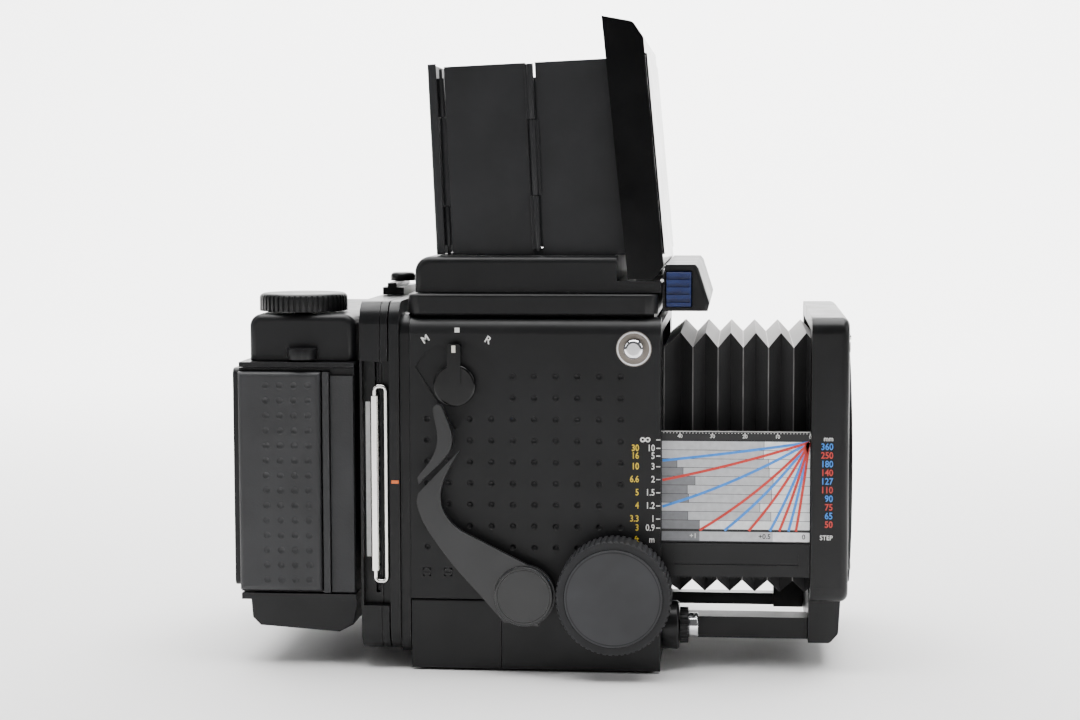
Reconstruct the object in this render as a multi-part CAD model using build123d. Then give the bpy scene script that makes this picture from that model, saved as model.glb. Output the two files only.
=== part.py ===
from build123d import *
from math import cos, pi, radians, sin, tan
import os

# Medium-format bellows-focusing reflex camera body with a folding waist-level hood, a revolving
# back and a roll-film holder, no lens fitted.  Millimetres.  +X is the lens side, +Z is up and
# -Y is the side with the cocking lever.  The origin is the mouth of the tripod socket.

# ---------------------------------------------------------------- driving dimensions
BODY_REAR, BODY_FRONT = -39.0, 39.0
HALF_WIDTH = 52.0                      # outer faces of the side covers
COVER_THICK = 1.8
SIDE_TOP = 110.6                       # top of the side covers
AXIS_Z = 60.0                          # optical axis height
GAP = 0.3                              # air between parts that move past each other

CAST_HALF = 44.8                       # mirror-box casting, half width
CAVITY_HALF = 37.0                     # mirror-box cavity, half width
CAVITY_FLOOR = 18.5
SILL_Z = 29.8                          # floor of the cavity ahead of the focus shaft
DECK_Z = 111.6                         # top deck of the casting

BOARD_REAR, BOARD_FRONT = 85.2, 96.8   # front standard, drawn fully extended
BOARD_LOW, BOARD_HIGH = 22.3, 110.8
RAIL_END = BOARD_REAR - 0.1            # front end of the bars and arms behind the board
BELLOWS = (39.3, 91.3)                 # the folds close up inside the standard's rear pocket
THROAT_R = 30.5                        # lens mount aperture, 61 mm

FOCUS_X, FOCUS_Z = 25.2, 25.9          # focus shaft
RACK_PITCH = 1.0                       # tooth spacing of rack and pinion
PINION_TEETH = 24
PITCH_R = RACK_PITCH * PINION_TEETH / (2 * pi)
ADDENDUM = 0.30
DEDENDUM = 0.48
SHAFT_R = 3.0
RUN_FIT = 0.04                         # radial clearance of a running shaft

LEVER_X, LEVER_Z = -2.8, 25.0          # cocking lever pivot
SELECT_X, SELECT_Z = -24.7, 89.7       # exposure selector pivot
RELEASE_Y, RELEASE_Z = -42.0, 13.5     # shutter release axis
DIAL_X, DIAL_Z = -6.0, 88.0            # shutter speed dial, left side
SHOE_X, SHOE_Z = (9.0, 31.0), 80.0     # accessory shoe, left side; 18.6 mm slot

MIRROR_X, MIRROR_Z = -34.0, 95.5       # mirror hinge
SHIELD_X, SHIELD_Z = -36.4, 91.0       # light shield hinge
MIRROR_LEN = 71.0

RING_R = 48.0                          # revolving joint between fixed and turning frames
SPOOL_X, SPOOL_Y = -76.0, 33.0         # film spools stand at +/-SPOOL_Y
SPOOL_LOW, SPOOL_HIGH = 28.6, 91.4
FLANGE_R = 12.55

HOOD_LEAN = 2.5                        # hood panels lean back
HOOD_BASE_Z = 129.4
MID_X, MID_Y = 0.5, -42.6              # middle fold line of a side panel
FOLD_HALF = 28.3                       # fold line to fold line, along X
EDGE_Y = -40.0                         # fold lines at the lid and at the rear panel
LID_LEAN = 5.2

X_SIDE, Y_SIDE = (1, 0, 0), (0, 1, 0)


# ---------------------------------------------------------------- small helpers
def box(x, y, z):
    """A block from three (low, high) pairs."""
    size = [hi - lo for lo, hi in (x, y, z)]
    mid = [(hi + lo) / 2 for lo, hi in (x, y, z)]
    return Pos(*mid) * Box(*size)


def rod_x(r, x, y, z):
    return Pos((x[0] + x[1]) / 2, y, z) * Rot(0, 90, 0) * Cylinder(r, x[1] - x[0])


def rod_y(r, x, y, z):
    return Pos(x, (y[0] + y[1]) / 2, z) * Rot(90, 0, 0) * Cylinder(r, y[1] - y[0])


def rod_z(r, x, y, z):
    return Pos(x, y, (z[0] + z[1]) / 2) * Cylinder(r, z[1] - z[0])


def side_plate(outline, y):
    """A face drawn as (X, Z) made solid between the two y values."""
    plane = Plane(origin=(0, y[1], 0), x_dir=X_SIDE, z_dir=(0, -1, 0))
    return extrude(plane * outline, y[1] - y[0])


def front_plate(outline, x):
    """A face drawn as (Y, Z) made solid between the two x values."""
    plane = Plane(origin=(x[0], 0, 0), x_dir=Y_SIDE, z_dir=(1, 0, 0))
    return extrude(plane * outline, x[1] - x[0])


def level_plate(outline, z):
    """A face drawn as (X, Y) made solid between the two z values."""
    return extrude(Pos(0, 0, z[0]) * outline, z[1] - z[0])


def rounded(a, b, r):
    """A rectangle with round corners from two (low, high) pairs."""
    mid = Pos((a[0] + a[1]) / 2, (b[0] + b[1]) / 2)
    return mid * RectangleRounded(a[1] - a[0], b[1] - b[0], r)


def outline(*points):
    return make_face(Polyline(*points, close=True))


def edges_along(part, axis, test):
    """The straight edges of a part along an axis whose middle passes a test."""
    return [e for e in part.edges().filter_by(axis) if test(e.center())]


def other_side(part):
    """The same piece on the left side of the camera."""
    return mirror(part, about=Plane.XZ)


def both_sides(part):
    return [part, other_side(part)]


def mesh_gear(teeth, pitch, add, ded, width):
    """A straight-flanked spur pinion in the XY plane, with a tooth on +Y."""
    r = teeth * pitch / (2 * pi)
    step = 2 * pi / teeth
    half = 0.20 / r
    lean = 0.16 / r
    points = []
    for i in range(teeth):
        a = pi / 2 + i * step
        for da, rr in ((-half - lean, r - ded), (-half + lean, r + add),
                       (half - lean, r + add), (half + lean, r - ded)):
            points.append((rr * cos(a + da), rr * sin(a + da)))
    return extrude(outline(*points), width)


# ---------------------------------------------------------------- camera body, fixed pieces
def rail_tunnels(rear, air):
    """Room for the slide bars and for the bracket that follows them in as the bellows closes."""
    near = box((rear, 40), (-30 - air, -20 + air), (7 - air, 13.8 + air))
    far = box((rear, 40), (25 - air, 30 + air), (7 - air, 11 + air))
    bracket = box((28.6, 40), (21.5 - air, 33 + air), (7 - air, 17 + air))
    return [near, far, bracket]


def mirror_box():
    part = box((BODY_REAR, 36.7), (-CAST_HALF, CAST_HALF), (3.3, DECK_Z))
    cavity = (-CAVITY_HALF, CAVITY_HALF)
    part -= box((BODY_REAR - 1, 18), cavity, (CAVITY_FLOOR, 109.4))
    part -= box((17, 40), cavity, (SILL_Z, 109.4))
    part -= box((-35.5, 33.5), (-34.8, 34.8), (108, 113))
    part -= rod_y(SHAFT_R + RUN_FIT, FOCUS_X, (-50, 50), FOCUS_Z)
    part -= rod_y(2.24, LEVER_X, (-50, -38.4), LEVER_Z)
    part -= rod_y(1.64, SELECT_X, (-50, -39.8), SELECT_Z)
    part -= rod_y(2.04, DIAL_X, (39.8, 50), DIAL_Z)
    part -= rail_tunnels(-38, GAP)
    part -= rod_x(1.9, (33, 40), RELEASE_Y, RELEASE_Z)
    part -= rod_z(6.2, 0, 0, (0, 9.3))
    part -= box((-36, -9), (31.4, 46), (4.5, 17.5))
    for x, z, r in ((MIRROR_X, MIRROR_Z, 1.54), (SHIELD_X, SHIELD_Z, 1.04)):
        part -= rod_y(r, x, (-41, 41), z)
    return part


def front_frame():
    part = front_plate(rounded((-50, 50), (3.4, 108.6), 3), (36.8, 39.1))
    part -= box((36, 40), (-CAVITY_HALF, CAVITY_HALF), (SILL_Z, 105.4))
    for side in both_sides(box((36, 40), (-48.8, -45.0), (28.8, 76.0))):
        part -= side
    part -= rail_tunnels(36, GAP + 0.1)
    part -= rod_x(1.9, (36, 40), RELEASE_Y, RELEASE_Z)
    return part


def cover_blank():
    """A right side cover: an upright wall that turns in over the casting at the top."""
    top = SIDE_TOP
    y = (-HALF_WIDTH, -CAST_HALF - 0.05)
    face = rounded((y[0], y[1] + 12), (-12, top), 5)
    inner = rounded((y[0] + COVER_THICK, y[1] + 14), (-14, top - COVER_THICK), 3.2)
    part = front_plate(face - inner, (BODY_REAR, BODY_FRONT))
    part &= box((BODY_REAR, BODY_FRONT), y, (0.6, top + 1))
    return part


def right_side_cover():
    part = cover_blank()
    part -= box((BODY_REAR - 1, -10.4), (-53, -50), (0, 22.6))
    part -= rod_y(SHAFT_R + GAP, FOCUS_X, (-53, -49), FOCUS_Z)
    part -= rod_y(2.6, LEVER_X, (-53, -49), LEVER_Z)
    part -= rod_y(2.0, SELECT_X, (-53, -49), SELECT_Z)
    fan = Pos(SELECT_X, SELECT_Z) * Circle(13.6)
    wedge = outline((SELECT_X, SELECT_Z - 14), (SELECT_X + 19, SELECT_Z + 16),
                    (SELECT_X - 19, SELECT_Z + 16))
    part -= side_plate(fan & wedge, (-53, -HALF_WIDTH + 0.5))
    part -= rod_y(1.5, 32.6, (-53, -51.2), 101.3)
    return part


def right_lower_cover():
    part = box((BODY_REAR + 0.2, -10.6), (-HALF_WIDTH + 0.2, -50.2), (0.6, 22.3))
    return fillet(edges_along(part, Axis.X, lambda c: c.Z > 20 and c.Y < -51), 0.6)


def left_side_cover():
    part = other_side(cover_blank())
    part -= rod_y(SHAFT_R + GAP, FOCUS_X, (49, 53), FOCUS_Z)
    part -= rod_y(2.4, DIAL_X, (49, 53), DIAL_Z)
    part -= box((-36.4, -8.6), (49, 53), (4.0, 18.4))
    return part - rod_x(0.52, (-37.8, -7.2), 51.0, 5.6)


def base_plate():
    part = level_plate(rounded((-38.6, 38.6), (-50.0, 50.0), 3), (0.0, 3.2))
    part = chamfer(part.faces().sort_by(Axis.Z)[0].edges(), 0.5)
    return part - rod_z(9.1, 0, 0, (-1, 4))


def tripod_socket():
    part = rod_z(9.0, 0, 0, (0, 3.2)) + rod_z(6.15, 0, 0, (3.2, 9.2))
    return part - rod_z(2.55, 0, 0, (-1, 8.0))


def top_plate():
    part = level_plate(rounded((-40, 38), (-50, 50), 4), (111.8, 117.9))
    part = fillet(part.faces().sort_by(Axis.Z)[-1].edges(), 1.0)
    part -= box((-37.4, 35.4), (-36.8, 36.8), (111, 119))
    return part


def focusing_screen():
    return box((-37.2, 35.2), (-36.6, 36.6), (111.8, 113.8))


def screen_frame():
    part = box((-37.2, 35.2), (-36.6, 36.6), (113.9, 116.2))
    return part - box((-34.2, 32.2), (-33.8, 33.8), (113, 117))


def nose_housing():
    side = outline((39.2, 112.4), (53.2, 112.4), (53.8, 114.9), (50.4, 125.6),
                   (49.4, 126.8), (40.1, 126.8), (39.2, 122.0))
    part = side_plate(side, (-44, 44))
    upright = [e for e in part.edges() if abs(e.center().Y) > 43.9 and e.center().X > 50]
    part = fillet(upright, 1.2)
    part -= box((40.1, 48.5), (-45, -38), (113.5, 124.9))
    part -= box((42.0, 46.0), (-39, -30), (116.5, 121.5))
    return part


def finder_release_button():
    part = box((40.5, 48.1), (-46.2, -40.2), (113.9, 124.5))
    for i in range(4):
        low = 115.2 + 2.35 * i
        part -= box((40, 49), (-47, -45.5), (low, low + 1.1))
    return part + box((42.2, 45.8), (-40.3, -33), (116.7, 121.3))


def strap_lug():
    part = rod_y(5.5, 30.8, (-53.0, -HALF_WIDTH), 101.3)
    part += rod_y(2.2, 30.8, (-54.4, -53.0), 101.3)
    stud = rod_y(3.1, 30.8, (-56.0, -54.4), 101.3)
    stud = fillet(stud.edges().sort_by(Axis.Y)[0], 1.2)
    return part + stud


def hot_shoe():
    part = box(SHOE_X, (HALF_WIDTH, 57.8), (SHOE_Z - 10.6, SHOE_Z + 10.6))
    part -= box((SHOE_X[0] - 1, SHOE_X[1] - 1.4), (54.0, 56.3), (SHOE_Z - 9.3, SHOE_Z + 9.3))
    part -= box((SHOE_X[0] - 1, SHOE_X[1] - 1.4), (55, 58), (SHOE_Z - 6.2, SHOE_Z + 6.2))
    return part


def battery():
    return rod_x(6.3, (-34.5, -11.5), 38.2, 11.0)


def battery_contacts():
    return [box((-35.6, -34.9), (34, 42), (7, 15)), box((-11.1, -10.4), (34, 42), (7, 15))]


def battery_door():
    part = box((-36.1, -8.9), (50.2, HALF_WIDTH), (6.2, 18.1))
    part += rod_x(1.0, (-36.1, -8.9), 51.0, 5.6)
    part -= rod_x(0.55, (-40, -5), 51.0, 5.6)
    part -= box((-25.5, -19.5), (51.4, 53), (14.6, 16.2))
    return part


def battery_hinge_pin():
    return rod_x(0.5, (-37.6, -7.4), 51.0, 5.6)


def release_collar():
    part = rod_x(7.6, (39.2, 44.6), RELEASE_Y, RELEASE_Z)
    part = chamfer(part.edges().sort_by(Axis.X)[-1], 0.5)
    return part - rod_x(1.9, (39, 46), RELEASE_Y, RELEASE_Z)


def release_lock_ring():
    part = rod_x(5.6, (44.9, 47.5), RELEASE_Y, RELEASE_Z)
    for i in range(24):
        turn = Pos(0, RELEASE_Y, RELEASE_Z) * Rot(15 * i, 0, 0)
        part -= turn * (Pos(46.2, 0, 5.8) * Box(3, 0.6, 0.7))
    return part - rod_x(4.1, (44, 48), RELEASE_Y, RELEASE_Z)


def shutter_button():
    part = rod_x(3.8, (47.2, 50.6), RELEASE_Y, RELEASE_Z)
    part = fillet(part.edges().sort_by(Axis.X)[-1], 0.5)
    part += rod_x(1.6, (37.5, 47.2), RELEASE_Y, RELEASE_Z)
    return part - rod_x(0.9, (48.5, 52), RELEASE_Y, RELEASE_Z)


def shutter_speed_dial():
    part = rod_y(13.0, DIAL_X, (52.4, 57.4), DIAL_Z)
    part = chamfer(part.edges().sort_by(Axis.Y)[-1], 0.8)
    for i in range(36):
        turn = Pos(DIAL_X, 0, DIAL_Z) * Rot(0, 10 * i, 0)
        part -= turn * (Pos(13.1, 55, 0) * Box(0.9, 6, 0.9))
    return part + rod_y(2.0, DIAL_X, (41, 52.4), DIAL_Z)


def rear_frame():
    part = front_plate(rounded((-51, 51), (4.5, 111.6), 6), (-42.2, -39.2))
    return part - box((-43, -39), (-36, 36), (24, 96))


# ---------------------------------------------------------------- mirror
def swung(part, x, z, angle):
    """Turn a piece about the axis along Y through (x, z)."""
    return Pos(x, 0, z) * Rot(0, angle, 0) * Pos(-x, 0, -z) * part


def mirror_frame():
    part = box((MIRROR_X + 0.6, MIRROR_X + MIRROR_LEN), (-35.6, 35.6), (MIRROR_Z - 1.4, MIRROR_Z))
    corner = outline((MIRROR_X + 36, -36), (MIRROR_X + 72, -36), (MIRROR_X + 72, -27))
    part -= level_plate(corner, (90, 100))
    part -= other_side(level_plate(corner, (90, 100)))
    part += box((MIRROR_X, MIRROR_X + 3), (-35.6, 35.6), (MIRROR_Z - 1.4, MIRROR_Z + 1.6))
    part -= rod_y(1.5, MIRROR_X, (-41, 41), MIRROR_Z)
    return swung(part, MIRROR_X, MIRROR_Z, 45)


def mirror_glass():
    face = outline((MIRROR_X + 3.4, -34.6), (MIRROR_X + 36, -34.6), (MIRROR_X + 70, -26),
                   (MIRROR_X + 70, 26), (MIRROR_X + 36, 34.6), (MIRROR_X + 3.4, 34.6))
    part = level_plate(face, (MIRROR_Z, MIRROR_Z + 1.8))
    return swung(part, MIRROR_X, MIRROR_Z, 45)


def mirror_shaft():
    return rod_y(1.5, MIRROR_X, (-40.5, 40.5), MIRROR_Z)


def light_shield():
    part = box((SHIELD_X - 0.5, SHIELD_X + 0.7), (-35.8, 35.8), (23.5, SHIELD_Z))
    part += rod_y(1.4, SHIELD_X, (-35.8, 35.8), SHIELD_Z)
    return part - rod_y(1.0, SHIELD_X, (-41, 41), SHIELD_Z)


def shield_shaft():
    return rod_y(1.0, SHIELD_X, (-40.5, 40.5), SHIELD_Z)


# ---------------------------------------------------------------- front standard
def lens_board():
    part = front_plate(rounded((-50, 50), (BOARD_LOW, BOARD_HIGH), 5), (BOARD_REAR, BOARD_FRONT))
    part = fillet(part.faces().sort_by(Axis.X)[-1].edges(), 2.5)
    part += rod_x(46.0, (96.0, 98.0), 0, AXIS_Z) & box((90, 99), (-48, 48), (26, 107))
    part -= rod_x(38.1, (94.5, 99), 0, AXIS_Z)
    part -= rod_x(34.1, (84, 99), 0, AXIS_Z)
    part -= box((85, 91.5), (-39.6, 39.6), (20, 106.4))
    for y, z in ((-46.2, 31.4), (-46.2, 101.6), (46.2, 31.4), (46.2, 101.6)):
        part -= rod_x(1.7, (95.8, 98), y, z)
    return part


def lens_mount_ring():
    part = rod_x(38.0, (94.6, 98.2), 0, AXIS_Z) + rod_x(34.0, (91.6, 94.6), 0, AXIS_Z)
    part -= rod_x(THROAT_R, (85, 99), 0, AXIS_Z)
    for i in range(3):
        turn = Pos(0, 0, AXIS_Z) * Rot(120 * i + 30, 0, 0)
        part -= turn * (Pos(97.6, 0, 36.2) * Box(1.4, 6, 4.2))
    return part


def mount_pin():
    """Locating pin of the lens flange, and the two shutter coupling pins."""
    pins = [rod_x(1.0, (98.2, 99.6), 0, AXIS_Z + 41.5)]
    for y in (-12.0, 12.0):
        pins.append(rod_x(1.3, (98.2, 99.4), y, AXIS_Z - 32.4))
    return pins


def standard_foot():
    side = outline((BOARD_REAR, 6.4), (92.0, 6.4), (94.6, 9.4), (95.4, 22.0), (BOARD_REAR, 22.0))
    part = side_plate(side, (-33, 33))
    return fillet(edges_along(part, Axis.Y, lambda c: c.Z < 10 and c.X > 90), 1.6)


def slide_bars():
    near = box((9, RAIL_END), (-30, -20), (7, 13.8))
    far = box((9, RAIL_END), (25, 30), (7, 11))
    return [near, far]


def bar_bracket():
    upright = box((75, RAIL_END), (21.5, 24.8), (7, 17))
    return upright + box((75, RAIL_END), (21.5, 33), (11.1, 17))


def standard_arms():
    return both_sides(box((12, RAIL_END), (-46.9, -45.3), (31, 75.2)))


def rack():
    """A toothed strip; the teeth point down at the pinion below."""
    root = FOCUS_Z + PITCH_R + DEDENDUM
    tip = FOCUS_Z + PITCH_R - ADDENDUM
    pitch_line = FOCUS_Z + PITCH_R
    points = [(12, 40.6), (12, root)]
    first = -5
    last = 47
    for i in range(first, last + 1):
        x = FOCUS_X + (i + 0.5) * RACK_PITCH
        up = (root - pitch_line) * tan(radians(20))
        down = (pitch_line - tip) * tan(radians(20))
        points += [(x - 0.17 - up, root), (x - 0.17 + down, tip)]
        points += [(x + 0.17 - down, tip), (x + 0.17 + up, root)]
    points += [(BOARD_REAR - 0.2, root), (BOARD_REAR - 0.2, 40.6)]
    part = side_plate(outline(*points), (-48.4, -47.0))
    return part - box((43, 81.5), (-49, -47.9), (33.8, 37.5))


def focus_racks():
    return both_sides(rack())


def scale_plates():
    return both_sides(box((33, BOARD_REAR - 0.2), (-48.4, -47.0), (40.9, 75.6)))


def bellows():
    """Plain closed outer shape of the pleated tube; its inside is open front to rear."""
    outer = box(BELLOWS, (-38.4, 38.4), (22.8, 105.2))
    outer = chamfer(outer.edges().filter_by(Axis.X), 5)
    inner = box((39, 92), (-34.5, 34.5), (30.0, 101.0))
    return outer - inner


def board_screws():
    screws = []
    for y, z in ((-46.2, 31.4), (-46.2, 101.6), (46.2, 31.4), (46.2, 101.6)):
        head = rod_x(1.65, (95.8, 97.0), y, z)
        screws.append(head - box((96.6, 98), (y - 0.2, y + 0.2), (z - 1.0, z + 1.0)))
    return screws


# ---------------------------------------------------------------- focusing drive
def focus_shaft():
    return rod_y(SHAFT_R, FOCUS_X, (-62, 62), FOCUS_Z)


def focus_pinions():
    gear = mesh_gear(PINION_TEETH, RACK_PITCH, ADDENDUM, DEDENDUM, 1.8)
    gear -= Pos(0, 0, 0.9) * Cylinder(SHAFT_R, 4)
    plane = Plane(origin=(FOCUS_X, -46.9, FOCUS_Z), x_dir=X_SIDE, z_dir=(0, -1, 0))
    return both_sides(plane * gear)


def focus_knobs():
    part = rod_y(15.2, FOCUS_X, (-65.4, -53.2), FOCUS_Z)
    part -= rod_y(SHAFT_R, FOCUS_X, (-62.0, -52), FOCUS_Z)
    part += rod_y(9.0, FOCUS_X, (-53.2, -52.5), FOCUS_Z) - rod_y(SHAFT_R, FOCUS_X, (-54, -52), FOCUS_Z)
    return both_sides(part)


def knob_grips():
    """Ribbed rubber tyre of each focusing knob."""
    ring = rod_y(17.7, FOCUS_X, (-65.6, -54.0), FOCUS_Z)
    ring = fillet(ring.edges().sort_by(Axis.Y)[0], 0.8)
    cuts = []
    for i in range(60):
        turn = Pos(FOCUS_X, 0, FOCUS_Z) * Rot(0, 6 * i, 0)
        cuts.append(turn * (Pos(17.9, -59.8, 0) * Box(1.2, 13, 0.85)))
    ring -= cuts
    ring -= rod_y(15.2, FOCUS_X, (-66, -53), FOCUS_Z)
    return both_sides(ring)


def knob_caps():
    cap = rod_y(15.0, FOCUS_X, (-66.2, -65.4), FOCUS_Z)
    cap = fillet(cap.edges().sort_by(Axis.Y)[0], 0.3)
    return both_sides(cap)


# ---------------------------------------------------------------- levers on the right side
def lever_arm():
    """The wide lower part of the cocking lever, from the hub up to its pointed shoulder."""
    edge = Spline((-17.1, 25.7), (-24.4, 33.9), (-30.5, 41.9), (-34.2, 48.0), (-36.1, 54.2))
    top = Polyline((-36.1, 54.2), (-35.6, 56.6), (-22.7, 70.0))
    inner = Spline((-22.7, 70.0), (-27.7, 60.4), (-28.6, 56.1), (-28.0, 51.8), (-25.3, 47.5),
                   (-21.3, 44.5))
    hub = Polyline((-21.3, 44.5), (1.6, 33.0), (1.6, 15.5), (-9.0, 16.6), (-17.1, 25.7))
    face = make_face(edge + top + inner + hub)
    part = side_plate(face, (-58.3, -56.3)) + rod_y(9.6, LEVER_X, (-58.3, -56.3), LEVER_Z)
    part += rod_y(8.0, LEVER_X, (-56.3, -52.4), LEVER_Z)
    return part - rod_y(2.2, LEVER_X, (-59, -52), LEVER_Z)


def lever_grip():
    """The narrow curved finger piece fixed on the end of the arm."""
    right = Spline((-27.6, 83.0), (-25.7, 78.2), (-24.7, 73.6), (-25.1, 70.9), (-27.3, 67.5),
                   (-31.0, 63.8), (-35.1, 59.7))
    end = Line((-35.1, 59.7), (-35.5, 61.8))
    left = Spline((-35.5, 61.8), (-32.2, 66.0), (-29.9, 70.2), (-29.2, 74.5), (-29.8, 78.6),
                  (-30.5, 82.2))
    tip = ThreePointArc((-30.5, 82.2), (-29.3, 84.3), (-27.6, 83.0))
    return side_plate(make_face(right + end + left + tip), (-60.2, -56.6))


def lever_cap():
    part = rod_y(9.15, LEVER_X, (-59.6, -58.3), LEVER_Z)
    return fillet(part.edges().sort_by(Axis.Y)[0], 0.4)


def lever_shaft():
    return rod_y(2.2, LEVER_X, (-58.3, -38.8), LEVER_Z)


def exposure_selector():
    part = rod_y(6.6, SELECT_X, (-54.4, -52.2), SELECT_Z)
    part = fillet(part.edges().sort_by(Axis.Y)[0], 0.7)
    finger = box((SELECT_X - 2.1, SELECT_X + 2.1), (-55.2, -52.2), (SELECT_Z, SELECT_Z + 13.0))
    finger = fillet(edges_along(finger, Axis.Y, lambda c: c.Z > 100), 0.9)
    return part + finger + rod_y(1.6, SELECT_X, (-52.2, -41.0), SELECT_Z)


# ---------------------------------------------------------------- revolving back
def fixed_back_frame():
    part = front_plate(rounded((-52, 52), (5.5, 115.5), 7), (-45.5, -42.3))
    return part - rod_x(RING_R + 0.06, (-46, -42), 0, AXIS_Z)


def back_index_mark():
    return box((-44.9, -42.6), (-52.35, -52.0), (58.7, 59.7))


def revolving_frame():
    part = front_plate(rounded((-52, 52), (5.5, 115.5), 7), (-48.2, -45.9))
    ring = rod_x(RING_R, (-45.9, -42.6), 0, AXIS_Z)
    part = part + ring - rod_x(45.4, (-49, -42), 0, AXIS_Z)
    return part - box((-49, -45), (-53, -48.4), (20, 97))


def holder_frame():
    part = front_plate(rounded((-52, 52), (5.5, 115.5), 7), (-54.7, -48.3))
    part -= box((-56, -48), (-34.9, 34.9), (AXIS_Z - 28, AXIS_Z + 28))
    part -= box((-50.5, -49.3), (-53, 42), (23.6, 96.4))
    part -= box((-54.0, -48), (-53, -48.4), (20, 97))
    return part


def dark_slide():
    part = box((-50.2, -49.6), (-50.6, 41), (24.0, 96.0)) - box((-51, -49), (-60, -47), (20, 31))
    part -= box((-51, -49), (-60, -47), (86, 100))
    part += rod_z(1.35, -50.4, -50.4, (31, 86))
    for z in ((30, 34), (83, 87)):
        part -= rod_z(0.74, -50.4, -50.4, z)
    return part


def dark_slide_bail():
    wire = 0.68
    corners = [(-50.4, -50.4, 33), (-50.4, -50.4, 27.5), (-46.75, -50.4, 27.5),
               (-46.75, -50.4, 89.0), (-50.4, -50.4, 89.0), (-50.4, -50.4, 84)]
    path = FilletPolyline(*corners, radius=1.4)
    return sweep(Plane(path @ 0, z_dir=path % 0) * Circle(wire), path=path)


def dark_slide_label():
    return box((-53.5, -51.7), (-48.75, -48.4), (35, 84))


def frame_latches():
    """Sliding catches at the top and bottom of the revolving frame that hold the film holder."""
    top = box((-53.6, -46.6), (-14, 14), (115.8, 118.2))
    top += box((-52.0, -49.0), (-14, 14), (118.2, 119.6))
    bottom = box((-53.6, -46.6), (-14, 14), (2.8, 5.2))
    return [top, bottom]


def latch_knob():
    """Domed button on the far half of the top catch."""
    part = rod_z(4.2, -50.0, 6.0, (119.6, 122.4))
    return fillet(part.edges().sort_by(Axis.Z)[-1], 1.4)


# ---------------------------------------------------------------- film holder
def holder_case():
    part = box((-94.0, -57.2), (-47.6, 47.6), (23.2, 94.4))
    part -= box((-95, -58.8), (-46.0, 46.0), (24.8, 92.8))
    part -= box((-60, -54), (-36, 36), (AXIS_Z - 29, AXIS_Z + 29))
    for y in (-SPOOL_Y, SPOOL_Y):
        part -= rod_z(3.3, SPOOL_X, y, (92, 96))
    return part


def holder_flanges():
    top = box((-93.6, -56.9), (-49.5, 49.5), (94.7, 96.3))
    bottom = box((-93.6, -56.9), (-49.5, 49.5), (20.9, 22.9))
    top -= rod_z(3.3, SPOOL_X, -SPOOL_Y, (94, 97))
    return [top, bottom]


def grip_cover():
    part = box((-93.8, -67.5), (-51.4, -47.7), (24.1, 93.3))
    part = fillet(part.faces().sort_by(Axis.Y)[0].edges(), 1.6)
    return part


def grip_covers():
    return both_sides(grip_cover())


def side_panels():
    panel = box((-64.6, -57.4), (-49.0, -47.7), (23.5, 92.1))
    post = box((-66.9, -64.9), (-50.4, -47.7), (23.5, 93.3))
    return both_sides(panel) + both_sides(post)


def top_housing():
    part = box((-91.0, -57.0), (-46.0, 46.0), (96.4, 111.2))
    part = fillet(edges_along(part, Axis.Y, lambda c: c.Z > 100), 4)
    part = fillet(edges_along(part, Axis.X, lambda c: c.Z > 100), 2.2)
    part -= box((-88.5, -59.5), (-43.5, 43.5), (95, 108.8))
    return part - rod_z(3.3, SPOOL_X, -SPOOL_Y, (107, 113))


def bottom_housing():
    side = outline((-91.5, 20.8), (-91.0, 14.5), (-88.4, 11.9), (-63.0, 10.2), (-58.4, 12.6),
                   (-57.0, 20.8))
    part = side_plate(side, (-46, 46))
    return part - box((-88.0, -62.0), (-43.5, 43.5), (14.5, 22))


def advance_knob():
    part = rod_z(14.0, SPOOL_X, -SPOOL_Y, (111.8, 117.4))
    part = fillet(part.edges().sort_by(Axis.Z)[-1], 1.6)
    cuts = []
    for i in range(48):
        turn = Pos(SPOOL_X, -SPOOL_Y, 0) * Rot(0, 0, 7.5 * i)
        cuts.append(turn * (Pos(14.1, 0, 115) * Box(1.1, 0.8, 8)))
    return part - cuts


def advance_shaft():
    part = rod_z(3.0, SPOOL_X, -SPOOL_Y, (SPOOL_HIGH + 0.2, 111.8))
    return part + box((SPOOL_X - 2.4, SPOOL_X + 2.4), (-SPOOL_Y - 0.5, -SPOOL_Y + 0.5),
                      (SPOOL_HIGH - 2.0, SPOOL_HIGH + 0.3))


def spool(y):
    part = rod_z(FLANGE_R, SPOOL_X, y, (SPOOL_LOW, SPOOL_LOW + 1.2))
    part += rod_z(FLANGE_R, SPOOL_X, y, (SPOOL_HIGH - 1.2, SPOOL_HIGH))
    part += rod_z(5.6, SPOOL_X, y, (SPOOL_LOW, SPOOL_HIGH))
    slot = box((SPOOL_X - 2.5, SPOOL_X + 2.5), (y - 0.6, y + 0.6), (SPOOL_HIGH - 2.2, SPOOL_HIGH + 1))
    pivot = rod_z(2.0, SPOOL_X, y, (SPOOL_LOW - 1, SPOOL_LOW + 3))
    return part - slot - pivot


def take_up_spool():
    return spool(-SPOOL_Y)


def supply_spool():
    return spool(SPOOL_Y)


def spool_pivots():
    return [rod_z(1.94, SPOOL_X, y, (24.8, SPOOL_LOW + 2.6)) for y in (-SPOOL_Y, SPOOL_Y)]


def film_rollers():
    return [rod_z(2.4, -62.4, y, (26.4, 91.2)) for y in (-41.0, 41.0)]


def roller_pins():
    pins = []
    for y in (-41.0, 41.0):
        pins += [rod_z(1.0, -62.4, y, (24.8, 26.3)), rod_z(1.0, -62.4, y, (91.3, 92.8))]
    return pins


def pressure_plate():
    return box((-56.8, -55.2), (-36.5, 36.5), (AXIS_Z - 30.8, AXIS_Z + 30.8))


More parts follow.
